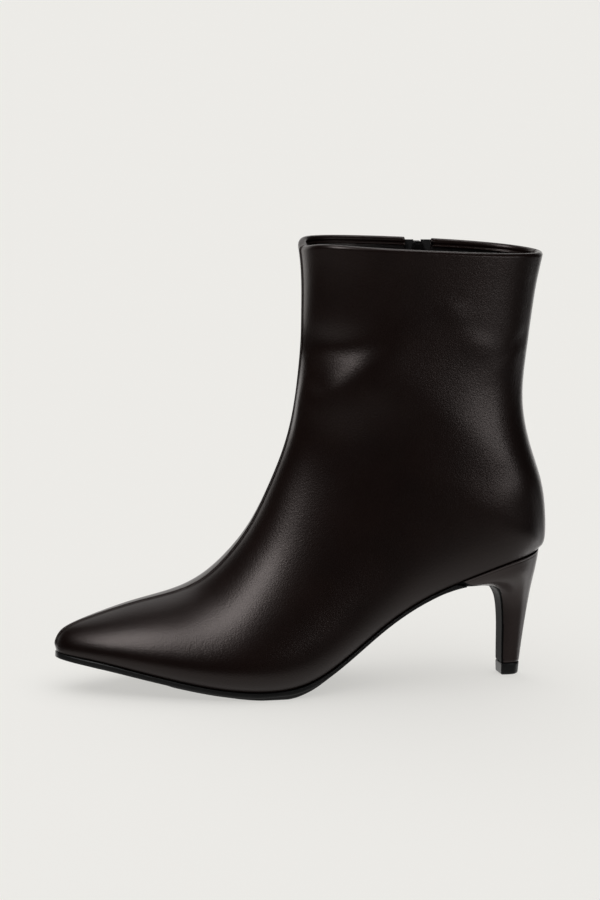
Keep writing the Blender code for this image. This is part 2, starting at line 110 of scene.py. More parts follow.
# Natural cubic curve through rows that stand at whole numbers.
def curveThrough(rows, at):
    count = len(rows)
    system = np.eye(count)
    right = np.zeros_like(rows)
    for i in range(1, count - 1):
        system[i, i - 1:i + 2] = 1, 4, 1
        right[i] = 6 * (rows[i - 1] - 2 * rows[i] + rows[i + 1])
    bend = np.linalg.solve(system, right)
    low = np.clip(np.floor(at).astype(int), 0, count - 2)
    t = (at - low)[:, None]
    u = 1 - t
    return u * rows[low] + t * rows[low + 1] + ((u**3 - u) * bend[low] + (t**3 - t) * bend[low + 1]) / 6


# Widths run on with their sign turned before the nose, and seat widths past the corner: both ends are round.
def sections(at):
    at = np.asarray(at, float)
    corner, ahead = last["corner"], last["noseRows"]
    widths, seats = slice(4, 8), slice(6, 8)
    rows = last["rows"].copy()
    for i in range(1, len(rows) - corner):
        rows[corner + i, seats] = -rows[corner - min(i, last["heelRows"]), seats]
    mirrored = rows[ahead:0:-1].copy()
    mirrored[:, widths] *= -1
    values = curveThrough(np.vstack((mirrored, rows)), at + ahead)
    found = dict(zip(last["columns"], values.T))
    for name in ("seatOuter", "seatInner"):
        found[name] = np.where(at < corner, found[name], 0)
    found.update(zip(last["shapeColumns"], curveThrough(last["shapes"], np.abs(at) / last["shapeStep"]).T))
    found["rise"] = last["rise"] * np.clip(1 - (last["end"] - at) / last["riseRows"], 0, 1)**2
    return found


# One side of each section from the seat edge or back line to the ridge:
# y = width (sin a + ridge/2 sin 2a + square sin 3a) / peak,
# height share = widest - reach (cos a + bend cos^2 a).
def halfSection(sizes, side, turns):
    width = sizes[side][:, None]
    seat = sizes["seat" + side.title()][:, None]
    ridge = sizes["ridge" + side.title()][:, None]
    square, widest, crown = (sizes[k][:, None] for k in ("square", "widest", "crown"))

    def swell(a):
        return np.sin(a) + ridge / 2 * np.sin(2 * a) + square * np.sin(3 * a)

    fine = np.linspace(0, math.pi, last["fineTurns"])[None]
    curve = swell(fine)
    peak = curve.max(1, keepdims=True)
    thin = np.abs(width) < 1e-6
    ratio = np.where(thin, last["noseSeat"], seat / np.where(thin, 1, width))
    start = np.zeros_like(ratio)
    for i, row in enumerate(curve):
        top = row.argmax() + 1
        start[i] = np.interp(ratio[i], row[:top] / peak[i], fine[0, :top])
    angle = start + (math.pi - start) * np.atleast_2d(turns)
    y = width * swell(angle) / peak
    reach = (1 - widest) / (1 + crown)
    fall = np.cos(angle)
    below = (widest / reach - np.cos(start)) / np.cos(start)**2
    share = widest - reach * (fall + np.where(fall > 0, below, -crown) * fall**2)
    sign = -1 if side == "outer" else 1
    x = sizes["bottomX"][:, None] + share * (sizes["topX"] - sizes["bottomX"])[:, None]
    z = sizes["bottomZ"][:, None] + share * (sizes["topZ"] - sizes["bottomZ"])[:, None]
    z = z + sizes["tilt"][:, None] * sign * y * share**2
    if side == "inner":
        z = z + sizes["rise"][:, None] * np.sin(angle)**2
    return np.stack((x, sizes["axis"][:, None] + sign * y, z), -1)


# Seat edges of both sides, moved outward in plan by a margin.
def seatLine(at, margin):
    step = 1e-3

    def edge(side, sign, place):
        sizes = sections(place)
        return np.stack((sizes["bottomX"], sizes["axis"] + sign * sizes["seat" + side], sizes["bottomZ"]), -1)

    edges = []
    for side, sign in (("Outer", -1), ("Inner", 1)):
        line = edge(side, sign, at)
        along = edge(side, sign, np.minimum(at + step, last["corner"] - 1e-9)) - edge(side, sign, at - step)
        line[:, :2] += unit(np.stack((-along[:, 1], along[:, 0]), -1) * sign) * margin
        edges.append(line)
    return edges


def placeOf(x):
    fine = np.linspace(0, last["corner"] - 1, last["finePlaces"])
    return float(np.interp(x, sections(fine)["bottomX"], fine))


zipSizes = {
    "x": 186.7, "half": 6.0, "flare": 1.2, "flareFrom": 200.0, "bottom": 96.0, "tapeTop": 219.4,
    "chainTop": 211.8, "pitch": 3.0, "flareMost": 1.3, "fromRow": 11, "sideRows": 320, "sideTurns": 121,
}


def slotHalf(z):
    drop = np.clip(zipSizes["bottom"] + zipSizes["half"] - z, 0, zipSizes["half"])
    climb = (z - zipSizes["flareFrom"]) / (zipSizes["tapeTop"] - zipSizes["flareFrom"])
    flare = np.clip(climb, 0, zipSizes["flareMost"])
    return np.sqrt(zipSizes["half"]**2 - drop**2) + zipSizes["flare"] * flare**2


# Distance of the inner side from the middle at one x and several heights.
def innerSide(x, heights):
    places = np.linspace(zipSizes["fromRow"], last["end"], zipSizes["sideRows"])
    points = halfSection(sections(places), "inner", np.linspace(0, 1, zipSizes["sideTurns"]))
    y = np.array([np.interp(-x, -row[:, 0], row[:, 1]) for row in points])
    z = np.array([np.interp(-x, -row[:, 0], row[:, 2]) for row in points])
    return np.interp(heights, z, y)


def addObject(name, data):
    made = bpy.data.objects.new(name, data)
    bpy.context.scene.collection.objects.link(made)
    return made


def addMesh(name, points, faces, look, slot, body="boot", smooth=True, other=None):
    mesh = bpy.data.meshes.new(name)
    mesh.from_pydata(toWorld(points).reshape(-1, 3).tolist(), [], faces)
    mesh.materials.append(look)
    if other:
        mesh.materials.append(other[0])
        mesh.polygons.foreach_set("material_index", np.asarray(other[1], np.int32))
    shape = bmesh.new()
    shape.from_mesh(mesh)
    bmesh.ops.remove_doubles(shape, verts=shape.verts, dist=2e-6)
    bmesh.ops.recalc_face_normals(shape, faces=shape.faces)
    for face in shape.faces:
        face.smooth = smooth
    shape.to_mesh(mesh)
    shape.free()
    piece = addObject(name, mesh)
    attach(piece, body)
    return piece


def gridFaces(rows, columns, around=False, skip=None):
    strips = columns if around else columns - 1
    r, c = np.meshgrid(np.arange(rows - 1), np.arange(strips), indexing="ij")
    n = (c + 1) % columns
    quads = np.stack((r * columns + c, r * columns + n, (r + 1) * columns + n, (r + 1) * columns + c), -1)
    if skip is not None:
        quads = quads[~skip]
    return quads.reshape(-1, 4).tolist()


# Shader maths on sockets: each operator adds one Math node.
class Wire:
    def __init__(self, tree, socket):
        self.tree = tree
        self.socket = socket

    def math(self, operation, other=None, swapped=False):
        node = self.tree.nodes.new("ShaderNodeMath")
        node.operation = operation
        values = [self] if other is None else [other, self] if swapped else [self, other]
        for slot, value in zip(node.inputs, values):
            if isinstance(value, Wire):
                self.tree.links.new(value.socket, slot)
            else:
                slot.default_value = value
        return Wire(self.tree, node.outputs[0])

    def __add__(self, other):
        return self.math("ADD", other)

    def __sub__(self, other):
        return self.math("SUBTRACT", other)

    def __rsub__(self, other):
        return self.math("SUBTRACT", other, True)

    def __mul__(self, other):
        return self.math("MULTIPLY", other)

    def __truediv__(self, other):
        return self.math("DIVIDE", other)

    __radd__ = __add__
    __rmul__ = __mul__


class Look:
    def __init__(self, name, **constants):
        self.material = bpy.data.materials.new(name)
        self.material.use_nodes = True
        self.tree = self.material.node_tree
        self.shader = self.tree.nodes["Principled BSDF"]
        for socket, value in constants.items():
            self.shader.inputs[socket.replace("_", " ")].default_value = value
        self.place = self.node("ShaderNodeTexCoord", {}, {}, "Object")

    def node(self, kind, settings, inputs, output=0):
        made = self.tree.nodes.new(kind)
        for key, value in settings.items():
            setattr(made, key, value)
        for key, value in inputs.items():
            if isinstance(value, Wire):
                self.tree.links.new(value.socket, made.inputs[key])
            else:
                made.inputs[key].default_value = value
        return Wire(self.tree, made.outputs[output])

    def noise(self, scale, detail=3.0, roughness=0.5):
        return self.node("ShaderNodeTexNoise", {}, {
            "Vector": self.place, "Scale": scale, "Detail": detail, "Roughness": roughness})

    def cells(self, scale):
        return self.node("ShaderNodeTexVoronoi", {"feature": "SMOOTH_F1"}, {
            "Vector": self.place, "Scale": scale})

    def shades(self, factor, stops):
        made = self.tree.nodes.new("ShaderNodeValToRGB")
        ramp = made.color_ramp
        while len(ramp.elements) < len(stops):
            ramp.elements.new(0.5)
        for element, (position, colour) in zip(ramp.elements, stops):
            element.position = position
            element.color = (*colour, 1)
        self.tree.links.new(factor.socket, made.inputs["Fac"])
        return Wire(self.tree, made.outputs["Color"])

    def bump(self, height, strength, distance):
        return self.node("ShaderNodeBump", {}, {"Height": height, "Strength": strength, "Distance": distance})

    def feed(self, **wires):
        for socket, wire in wires.items():
            self.tree.links.new(wire.socket, self.shader.inputs[socket.replace("_", " ")])
        return self.material

    # Colour between dark and light by one wire, roughness spread by another, and a bump.
    def dress(self, s, tone, wear, height):
        return self.feed(
            Base_Color=self.shades(tone, ((s["darkAt"], s["dark"]), (s["lightAt"], s["light"]))),
            Roughness=s["roughness"] - 0.5 * s["spread"] + s["spread"] * wear,
            Normal=self.bump(height, s["bump"], s["depth"]))


# Leather: shallow cell grain under fine pores, with soft changes of brown and of gloss.
leatherSettings = {
    "dark": (0.0078, 0.0036, 0.0029), "light": (0.0115, 0.0054, 0.0043), "darkAt": 0.3, "lightAt": 0.72,
    "blotchScale": 38.0, "grainScale": 1300.0, "pores": 0.5, "poreScale": 3600.0,
    "ripple": 1.5, "rippleScale": 85.0, "bump": 0.3, "depth": 0.00016,
    "roughness": 0.33, "spread": 0.12, "wearScale": 95.0, "rubScale": 800.0,
    "IOR": 1.5, "coat": 0.05, "coatRoughness": 0.2, "tint": (1.0, 0.88, 0.85, 1),
}


def leatherLook(name, **more):
    s = {**leatherSettings, **more}
    look = Look(
        name, IOR=s["IOR"], Coat_Weight=s["coat"], Coat_Roughness=s["coatRoughness"], Specular_Tint=s["tint"])
    blotch = look.noise(s["blotchScale"])
    grain = look.cells(s["grainScale"]) + s["pores"] * look.noise(s["poreScale"])
    grain = grain + s["ripple"] * look.noise(s["rippleScale"])
    wear = 0.5 * look.noise(s["wearScale"], 4.0, 0.6) + 0.5 * look.noise(s["rubScale"], 2.0)
    return look.dress(s, blotch, wear, grain)


# Rubber: fine grain, with lighter and rougher places where it is worn.
rubberSettings = {
    "IOR": 1.48, "fineScale": 2600.0, "wearScale": 70.0, "lighter": 1.7, "darkAt": 0.35, "lightAt": 0.75,
    "spread": 0.12, "bump": 0.2, "depth": 0.0001,
}


def rubberLook(name, colour, roughness, shine=0.5):
    light = tuple(rubberSettings["lighter"] * c for c in colour)
    s = {**rubberSettings, "dark": colour, "light": light, "roughness": roughness}
    look = Look(name, IOR=s["IOR"], Specular_IOR_Level=shine)
    wear = look.noise(s["wearScale"], 4.0, 0.6)
    return look.dress(s, wear, wear, look.noise(s["fineScale"]))


# Herringbone: ribs slanted one way and the other in turn across the tape,
# height = rib sin(pi (ribScale z + lean)) + cross sin(pi crossScale x), lean a zigzag of x.
weaveSettings = {
    "leanScale": 900.0, "lean": 2.0, "ribScale": 2000.0, "rib": 0.5, "crossScale": 1800.0, "cross": 0.3,
    "dark": (0.006, 0.006, 0.0065), "darkAt": 0.3, "light": (0.013, 0.0125, 0.013), "lightAt": 0.8,
    "dustScale": 160.0, "roughness": 0.78, "spread": 0.12, "bump": 0.5, "depth": 0.00012,
    "sheen": 0.25, "sheenRoughness": 0.5,
}


def weaveLook(name):
    s = weaveSettings
    look = Look(name, Sheen_Weight=s["sheen"], Sheen_Roughness=s["sheenRoughness"])
    x, z = (look.node("ShaderNodeSeparateXYZ", {}, {"Vector": look.place}, i) for i in (0, 2))
    lean = (x * s["leanScale"]).math("PINGPONG", 1.0)
    ribs = ((z * s["ribScale"] + lean * s["lean"]) * math.pi).math("SINE")
    cross = (x * s["crossScale"] * math.pi).math("SINE")
    dust = look.noise(s["dustScale"])
    return look.dress(s, dust, dust, ribs * s["rib"] + cross * s["cross"])


# Metal: dark, with uneven polish.
metalSettings = {
    "dark": (0.045, 0.044, 0.046), "darkAt": 0.3, "light": (0.075, 0.073, 0.074), "lightAt": 0.75,
    "brushScale": 900.0, "roughness": 0.29, "spread": 0.1, "bump": 0.06, "depth": 0.00005,
}


def metalLook(name):
    s = metalSettings
    look = Look(name, Metallic=1.0)
    brush = look.noise(s["brushScale"])
    return look.dress(s, brush, brush, brush)


looks = {
    "leather": leatherLook("upper_leather"),
    # The heel's cover is the upper's leather, drawn lighter and greyer as painted reflection of the floor and
    # painted light on the heel.
    "heel": leatherLook(
        "heel_leather", dark=(0.0315, 0.0220, 0.0205), light=(0.0420, 0.0300, 0.0282), roughness=0.36),
    "lining": leatherLook(
        "lining_leather", dark=(0.016, 0.0152, 0.0152), light=(0.023, 0.022, 0.022), roughness=0.3, bump=0.1),
    "sock": leatherLook(
        "sock_leather", dark=(0.009, 0.0075, 0.007), light=(0.014, 0.0115, 0.0105), roughness=0.5),
    "sole": rubberLook("sole_rubber", (0.0150, 0.0148, 0.0148), 0.36),
    # The dull black rubber of the heel's breast also paints shade into the front seam's groove.
    "breast": rubberLook("breast_rubber_and_painted_seam_shade", (0.0050, 0.0050, 0.0054), 0.6, 0.08),
    "lift": rubberLook("lift_rubber", (0.0075, 0.0073, 0.0073), 0.42),
    "teeth": rubberLook("zip_teeth", (0.0060, 0.0060, 0.0065), 0.36),
    "tape": weaveLook("zip_tape"),
    "thread": weaveLook("thread"),
    "metal": metalLook("zip_metal"),
}
print("stage: materials")

# Upper: the last's sections on a grid of rows along the foot and columns by distance in millimetres, close
# together at the front seam, back seam, seat edge and zip slot. Each point then moves along its normal by
# seam = -depth exp(-(d/width)^4) + lip exp(-((d - lipAt)/lipWidth)^2), by the rounding of cut edges
# and by folds = height exp(-(u/length)^2 - (v/width)^2), u along the fold and v across it.
upper = {
    "rows": np.concatenate((
        np.linspace(0, 1, 20)[:-1], np.arange(1, 12.35, 0.1), np.arange(12.4, 13.285, 0.03),
        np.arange(13.3, 14.575, 0.05), np.arange(14.6, 20.35, 0.1))),
    "near": np.array((0.0, 0.2, 0.36, 0.46, 0.55, 0.64, 0.76, 0.9, 1.05, 1.2, 1.36, 1.55, 2.0, 3.0)),
    "outerColumns": 84, "innerColumns": 42, "shortRow": 9.0, "fineTurns": 801,
    "splitFrom": 0.25, "splitHalf": 0.02, "slotRound": 0.9, "skirt": (0.6, 1.3, 1.3, 0.6),
    "front": {"depth": 0.9, "width": 0.55, "lip": 0.36, "lipAt": 0.95, "lipWidth": 0.42},
    "back": {"depth": 0.35, "width": 0.4, "lip": 0.08, "lipAt": 0.9, "lipWidth": 0.5},
    "seamShadeColumns": 3, "seamReach": 18.0, "backRows": (0.2, 1.4), "foldFade": 7.0, "foldRows": 1.5,
    "seatRound": 0.25, "seatRows": (13.2, 13.9), "tuck": 1.6, "tuckShare": 0.8,
    "bead": 1.7, "beadFront": 0.9, "beadReach": 9.0, "beadTurns": np.radians(np.linspace(0, 225, 17)),
    "below": (0.7, 0.3), "dip": 3.0, "dipReach": (14.0, 10.0),
    "roll": 0.5, "rollIn": 1.72, "rollDown": 2.28, "rollTurns": np.radians(np.linspace(100, 260, 9)),
    # side, x, z, direction in degrees, length, width above, width below, height
    "folds": (
        ("outer", 136.0, 151.5, 36.0, 24.0, 11.5, 22.0, 4.8),
        ("outer", 132.0, 172.0, 6.0, 18.0, 9.0, 6.5, -1.4),
        ("outer", 124.5, 156.0, -62.0, 9.0, 4.0, 4.0, -0.7),
        ("outer", 121.5, 161.0, -58.0, 8.0, 3.2, 3.2, 0.5),
        ("outer", 189.0, 189.5, -20.0, 8.0, 5.0, 7.0, 0.32),
        ("outer", 203.0, 173.5, -22.0, 10.0, 5.0, 7.0, 0.42),
        ("outer", 223.0, 172.5, 40.0, 10.0, 3.0, 3.0, -0.4),
        ("outer", 217.0, 165.0, 38.0, 11.0, 4.5, 4.5, 0.22),
        ("outer", 224.0, 99.0, 20.0, 15.0, 9.0, 10.0, 0.6),
        ("inner", 136.0, 163.0, -30.0, 15.0, 6.0, 6.0, 0.6),
        ("inner", 126.0, 156.0, -52.0, 12.0, 4.5, 4.5, -0.7),
        ("inner", 220.0, 168.0, 36.0, 12.0, 4.5, 4.5, 0.35),
    ),
}


def seamLine(d, s):
    lip = s["lip"] * np.exp(-((d - s["lipAt"]) / s["lipWidth"])**2)
    return -s["depth"] * np.exp(-(d / s["width"])**4) + lip


def rounding(d, radius):
    gap = np.clip(radius - d, 0, radius)
    return -(radius - np.sqrt(radius**2 - gap**2))


# Lengths along a row: close steps after the start and before the end, even steps between them.
def steps(start, end, count):
    span = end - start
    close = upper["near"] * np.clip(span / upper["shortRow"], 0, 1)[:, None]
    even = np.linspace(0, 1, count + 2)[1:-1]
    first = close[:, -1:]
    middle = first + (span[:, None] - 2 * first) * even
    return start[:, None] + np.concatenate((close, middle, span[:, None] - close[:, ::-1]), 1)


def rowLengths(fine):
    part = np.linalg.norm(np.diff(fine, axis=1), axis=2)
    return np.concatenate((np.zeros((len(fine), 1)), np.cumsum(part, 1)), 1)


def alongRows(sizes, side, turns, lengths, where):
    return halfSection(sizes, side, np.stack([np.interp(w, l, turns) for l, w in zip(lengths, where)]))


# Where each row of the inner side enters and leaves the zip's slot, or splits in line with it below its foot.
def slotCrossings(fine, lengths):
    enter, leave, cut = [], [], []
    for f, l in zip(fine, lengths):
        beside = np.abs(f[:, 0] - zipSizes["x"]) - slotHalf(f[:, 2])
        inside = np.flatnonzero(beside < 0)
        middle = max(np.interp(-zipSizes["x"], -f[:, 0], l), upper["splitFrom"] * l[-1])
        if len(inside) and 0 < inside[0] and inside[-1] < len(l) - 1:
            a, b = inside[0], inside[-1]
            enter.append(l[a - 1] + (l[a] - l[a - 1]) * beside[a - 1] / (beside[a - 1] - beside[a]))
            leave.append(l[b] + (l[b + 1] - l[b]) * beside[b] / (beside[b] - beside[b + 1]))
            cut.append(True)
        else:
            enter.append(middle - upper["splitHalf"])
            leave.append(middle + upper["splitHalf"])
            cut.append(False)
    return np.array(enter), np.array(leave), np.array(cut)


def normalsOf(points):
    return unit(np.cross(np.gradient(points, axis=0), np.gradient(points, axis=1)))


def upperGrid(rows, outerColumns, innerColumns):
    sizes = sections(rows)
    turns = 0.5 - 0.5 * np.cos(np.linspace(0, math.pi, upper["fineTurns"]))
    outerFine = halfSection(sizes, "outer", turns)
    innerFine = halfSection(sizes, "inner", turns)
    outerLengths, innerLengths = rowLengths(outerFine), rowLengths(innerFine)
    enter, leave, cut = slotCrossings(innerFine, innerLengths)
    zero = np.zeros(len(rows))
    outerAt = steps(zero, outerLengths[:, -1], outerColumns)
    rearAt = steps(zero, enter, innerColumns)
    frontAt = steps(leave, innerLengths[:, -1], innerColumns)
    innerAt = np.concatenate((rearAt, frontAt), 1)[:, ::-1]
    points = np.concatenate((
        alongRows(sizes, "outer", turns, outerLengths, outerAt),
        alongRows(sizes, "inner", turns, innerLengths, innerAt)[:, 1:]), 1)
    return {
        "points": points, "cut": cut, "outer": outerAt.shape[1],
        "edge": outerAt.shape[1] - 1 + frontAt.shape[1] - 1,
        "toSeat": np.concatenate((outerAt, innerAt[:, 1:]), 1),
        "toRidge": np.concatenate((
            outerLengths[:, -1:] - outerAt, (innerLengths[:, -1:] - innerAt)[:, 1:]), 1),
    }


def ramp(values, low, high):
    return np.clip((values - low) / (high - low), 0, 1)[:, None]


def foldHeights(rows, grid):
    points, outerCount = grid["points"], grid["outer"]
    heights = np.zeros(points.shape[:2])
    for side, x, z, direction, length, above, below, height in upper["folds"]:
        turn = math.radians(direction)
        dx, dz = points[:, :, 0] - x, points[:, :, 2] - z
        u = dx * math.cos(turn) + dz * math.sin(turn)
        v = dz * math.cos(turn) - dx * math.sin(turn)
        swell = height * np.exp(-(u / length)**2 - (v / np.where(v > 0, above, below))**2)
        columns = slice(0, outerCount) if side == "outer" else slice(outerCount, None)
        heights[:, columns] += swell[:, columns]
    fade = np.clip(grid["toRidge"] / upper["foldFade"], 0, 1)
    return heights * fade**2 * (3 - 2 * fade) * ramp(-rows, -last["end"], upper["foldRows"] - last["end"])


# The collar dips towards the front, further back on the outer side than on the inner side.
def collarDip(grid):
    reach = np.where(np.arange(grid["toRidge"].shape[1]) < grid["outer"], *upper["dipReach"])
    return upper["dip"] * np.exp(-(grid["toRidge"] / reach)**2)


def makeUpper():
    rows = np.append(upper["rows"], last["end"])
    grid = upperGrid(rows, upper["outerColumns"], upper["innerColumns"])
    points, edge, cut = grid["points"], grid["edge"], grid["cut"]
    normals = normalsOf(points)
    closed = rows >= last["corner"]
    normals[closed, 0] = normals[closed, -1] = unit(normals[closed, 0] + normals[closed, -1])
    small = np.clip(grid["toRidge"][:, :1] / upper["seamReach"], 0, 1)
    lift = seamLine(grid["toRidge"], upper["front"]) * small
    lift += seamLine(grid["toSeat"], upper["back"]) * ramp(rows - last["corner"], *upper["backRows"])
    lift += rounding(grid["toSeat"], upper["seatRound"]) * (1 - ramp(rows, *upper["seatRows"])) * small
    x, z = points[:, :, 0], points[:, :, 2]
    foot = zipSizes["bottom"] + zipSizes["half"]
    beside = np.abs(x - zipSizes["x"]) - slotHalf(z)
    around = np.hypot(x - zipSizes["x"], z - foot) - zipSizes["half"]
    inner = np.arange(points.shape[1]) >= grid["outer"]
    lift += rounding(np.maximum(np.where(z > foot, beside, around), 0), upper["slotRound"]) * inner
    lift += foldHeights(rows, grid)
    shaped = points + normals * lift[:, :, None]

    # The collar's rolled edge: an arc flush with the wall, fuller at the front,
    # and a thin roll below it on the inside.
    upward = unit(points[-1] - points[-2])
    near = np.exp(-(grid["toRidge"][-1] / upper["beadReach"])**2)
    dip = collarDip(grid)[-1]
    radius = upper["bead"] + upper["beadFront"] * near
    turns, rollTurns, roll = upper["beadTurns"][:, None], upper["rollTurns"][:, None], upper["roll"]
    away = np.concatenate((
        radius * np.cos(turns) - radius, roll * np.cos(rollTurns) - upper["rollIn"] * radius))
    high = np.concatenate((
        radius * np.sin(turns) - radius, roll * np.sin(rollTurns) - upper["rollDown"] * radius)) - dip
    bead = shaped[-1] + away[:, :, None] * normals[-1] + high[:, :, None] * upward
    below = [shaped[-1] - upward * (radius + dip + drop)[:, None] for drop in upper["below"]]
    body = np.concatenate((shaped[:-1], below))
    frontEdge, rearEdge = body[:, edge], body[:, edge + 1]
    bodyNormals = np.concatenate((normals, normals[-1:]))
    cut = np.append(cut, cut[-1])
    depth = np.where(cut, 1.0, 0.0)[:, None]
    flat = ~cut
    across = rearEdge[flat] - frontEdge[flat]
    skirts, half = [], len(upper["skirt"]) // 2
    for number, share in enumerate(upper["skirt"], 1):
        line, side = (frontEdge, edge) if number <= half else (rearEdge, edge + 1)
        skirt = line - bodyNormals[:, side] * depth * share
        skirt[flat] = frontEdge[flat] + across * number / (2 * half + 1)
        skirts.append(skirt)
    body = np.concatenate((body[:, :edge + 1], np.stack(skirts, 1), body[:, edge + 1:]), 1)
    ends = np.repeat(bead[:, edge:edge + 1], half, 1), np.repeat(bead[:, edge + 1:edge + 2], half, 1)
    bead = np.concatenate((bead[:, :edge + 1], *ends, bead[:, edge + 1:]), 1)
    whole = np.concatenate((body, bead))
    width = np.abs(points[:, 0, 1] - points[:, -1, 1])
    tuck = np.where(rows < last["corner"], np.minimum(upper["tuck"], upper["tuckShare"] * width / 2), 0)
    tuck = np.concatenate((tuck, np.zeros(len(bead) + 1)))[:, None]
    first = whole[:, 0] + tuck * (0.0, 1.0, 0.0)
    final = whole[:, -1] - tuck * (0.0, 1.0, 0.0)
    whole = np.concatenate((first[:, None], whole, final[:, None]), 1)
    count, columns = whole.shape[:2]
    skip = np.zeros((count - 1, columns - 1), bool)
    parted = np.concatenate((cut, np.ones(len(bead), bool)))
    frontColumn = edge + 1
    skip[:, frontColumn + half] = parted[:-1] & parted[1:]
    faces = gridFaces(count, columns, skip=skip)
    for column in (frontColumn, frontColumn + 2 * half + 1):
        faces.append([(len(body) + i) * columns + column for i in range(len(bead))])
    # The groove of the front seam takes the dull black rubber look: painted shade in the narrow groove.
    seam = np.zeros_like(skip)
    seam[:, grid["outer"] - upper["seamShadeColumns"]:grid["outer"] + upper["seamShadeColumns"]] = True
    other = looks["breast"], np.append(seam[~skip], (False, False))
    piece = addMesh("upper_skin", whole, faces, looks["leather"], "upper_leather", other=other)
    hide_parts("upper")


makeUpper()

# Lining: the same sections moved in by the wall, from the toe to just under the rolled edge.
lining = {
    "rows": np.concatenate((np.linspace(0.3, 12.4, 70), np.linspace(12.5, 20.88, 90))), "columns": (40, 22),
    "in": 1.75, "toeReach": 12.0, "dipFrom": 19.5, "thick": 0.0003,
}


def makeLining():
    rows = lining["rows"]
    grid = upperGrid(rows, *lining["columns"])
    reach = np.clip(grid["toRidge"][:, :1] / lining["toeReach"], 0, 1) * lining["in"]
    inside = grid["points"] + normalsOf(grid["points"]) * (foldHeights(rows, grid) - reach)[:, :, None]
    inside[:, :, 2] -= collarDip(grid) * ramp(rows, lining["dipFrom"], rows[-1])**2
    count, columns = inside.shape[:2]
    skip = np.zeros((count - 1, columns - 1), bool)
    skip[:, grid["edge"]] = grid["cut"][:-1] & grid["cut"][1:]
    faces = gridFaces(count, columns, skip=skip)
    piece = addMesh("upper_lining", inside, faces, looks["lining"], "upper_leather")
    thick = piece.modifiers.new("thick", "SOLIDIFY")
    thick.thickness = lining["thick"]
    thick.offset = 0


makeLining()
print("stage: lining")


# Several shapes as one: their points in one list, their faces counted on.
def joined(shapes):
    points, faces, first = [], [], 0
    for shape, own in shapes:
        points.append(np.reshape(shape, (-1, 3)))
        faces += [[i + first for i in face] for face in own]
        first += len(points[-1])
    return np.concatenate(points), faces


# Each corner of closed rings becomes three points, so edges are rounded.
def roundCorners(rings, radius, most=0.45):
    reach = []
    for shift in (1, -1):
        side = np.roll(rings, shift, 1) - rings
        length = np.maximum(np.linalg.norm(side, axis=2, keepdims=True), 1e-9)
        reach.append(rings + side / length * np.minimum(radius, most * length))
    middle = 0.25 * reach[0] + 0.5 * rings + 0.25 * reach[1]
    return np.stack((reach[0], middle, reach[1]), 2).reshape(len(rings), -1, 3)


def capFaces(rings):
    count, columns = rings.shape[:2]
    return [list(range(columns)), [(count - 1) * columns + i for i in range(columns)]]


# Outsole: an eight-cornered ring along the seat edge, edge band above and tread below, with rounded corners.
# It ends as a wedge that tapers away under the heel's lip.
sole = {
    "gap": 0.14, "margin": 1.0, "toeShare": 0.5, "toeReach": 14.0, "inset": 0.7, "end": 202.0,
    "toeRows": 16, "rows": 190, "round": 0.4, "wedgeStart": 196.5, "wedgeDrop": 2.9,
    "x": (0.0, 18.0, 50.0, 53.0, 80.0, 95.0, 108.0, 114.0, 122.0, 131.0, 160.0, 190.0, 196.0, 199.0, 202.0),
    "thick": (2.6, 2.9, 2.5, 2.5, 2.4, 2.4, 2.5, 2.5, 2.5, 2.4, 1.9, 1.7, 2.15, 2.55, 3.05),
    "tread": (0.3, 0.3, 0.3, 0.6, 0.7, 1.3, 2.0, 2.0, 1.4, 0.4, 0.3, 0.3, 0.3, 0.3, 0.3),
}


def makeSole():
    toe = np.linspace(0, 1, sole["toeRows"])[:-1]
    at = np.concatenate((toe, np.linspace(1, placeOf(sole["end"]), sole["rows"])))
    ring = []
    share = np.interp(sections(at)["bottomX"], (0, sole["toeReach"]), (sole["toeShare"], 1))
    margin = sole["margin"] * share[:, None]
    edges = seatLine(at, margin)
    treads = seatLine(at, margin - sole["inset"])
    for number, (edge, tread) in enumerate(zip(edges, treads)):
        thick = np.interp(edge[:, 0], sole["x"], sole["thick"])
        depth = np.interp(edge[:, 0], sole["x"], sole["tread"])
        wedge = np.clip((edge[:, 0] - sole["wedgeStart"]) / (sole["end"] - sole["wedgeStart"]), 0, 1)
        top = edge[:, 2] - sole["gap"] - sole["wedgeDrop"] * wedge
        middle = np.maximum(edge[:, 2] - sole["gap"] - thick, depth)
        bottom = np.maximum(middle - depth, 0)
        levels = ((edge, top), (edge, middle), (tread, middle), (tread, bottom))
        side = [np.column_stack((line[:, :2], height)) for line, height in levels]
        ring += side if number == 0 else side[::-1]
    rings = np.stack(ring, 1)
    half = (rings[0, :4] + rings[0, :3:-1]) / 2
    rings[0] = np.concatenate((half, half[::-1]))
    rings = roundCorners(rings, sole["round"])
    faces = gridFaces(*rings.shape[:2], around=True) + [capFaces(rings)[1]]
    piece = addMesh("sole_unit", rings, faces, looks["sole"], "sole_rubber")
    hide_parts("outsole")


makeSole()

# Sock: a sheet on the seat's outline with rounded edges.
sock = {"inset": 2.4, "thick": 2.0, "round": 0.9, "toeRows": 12, "rows": 120, "heelRows": 24}


def makeSock():
    corner = last["corner"]
    toe = np.linspace(0, 1, sock["toeRows"])[:-1]
    rear = np.linspace(corner - 1, corner, sock["heelRows"])[1:]
    at = np.concatenate((toe, np.linspace(1, corner - 1, sock["rows"]), rear))
    outer, inner = seatLine(at, -sock["inset"])
    inner[0] = outer[0] = (outer[0] + inner[0]) / 2
    inner[-1] = outer[-1] = (outer[-1] + inner[-1]) / 2
    up = np.array((0, 0, sock["thick"]))
    rings = roundCorners(np.stack((outer, inner, inner + up, outer + up), 1), sock["round"])
    piece = addMesh("sock", rings, gridFaces(*rings.shape[:2], around=True), looks["sock"], "sock_leather")
    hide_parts("insole")


makeSock()
print("stage: sole and sock")

